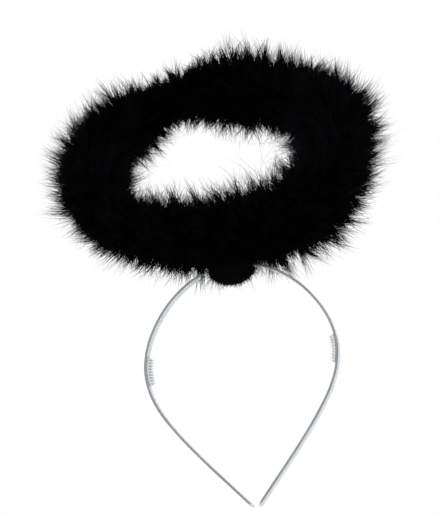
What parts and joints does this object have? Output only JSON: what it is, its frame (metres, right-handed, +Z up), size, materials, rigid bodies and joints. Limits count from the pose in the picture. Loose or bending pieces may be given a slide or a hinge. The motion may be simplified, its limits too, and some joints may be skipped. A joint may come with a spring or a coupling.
{
  "type": "halo headband",
  "caption": "Fluffy black ring of down leaning back on a wire stem above a clear springy teardrop headband with small grip combs; worn on the crown.",
  "frame": {"origin": "middle of the strap's inner face at the crown, where the headband sits on a head", "axes": "+Z up from the head through the crown, +X to the wearer's left, +Y to the back of the head"},
  "size_m": [0.2228, 0.1479, 0.329],
  "materials": {
    "clear_plastic": "clear, smooth, with darker edges",
    "comb_plastic": "clear, slightly milky",
    "steel_wire": "plain drawn wire, hidden in the down",
    "black_down": "deep black marabou down, matt, wispy at its edge",
    "black_cloth": "matt black wrap"
  },
  "bodies": {
    "root": {"headband": "clear_plastic", "comb_left": "comb_plastic", "comb_right": "comb_plastic", "halo_wire": "steel_wire", "halo_down": "black_down", "binding": "black_cloth"}
  },
  "joints": []
}
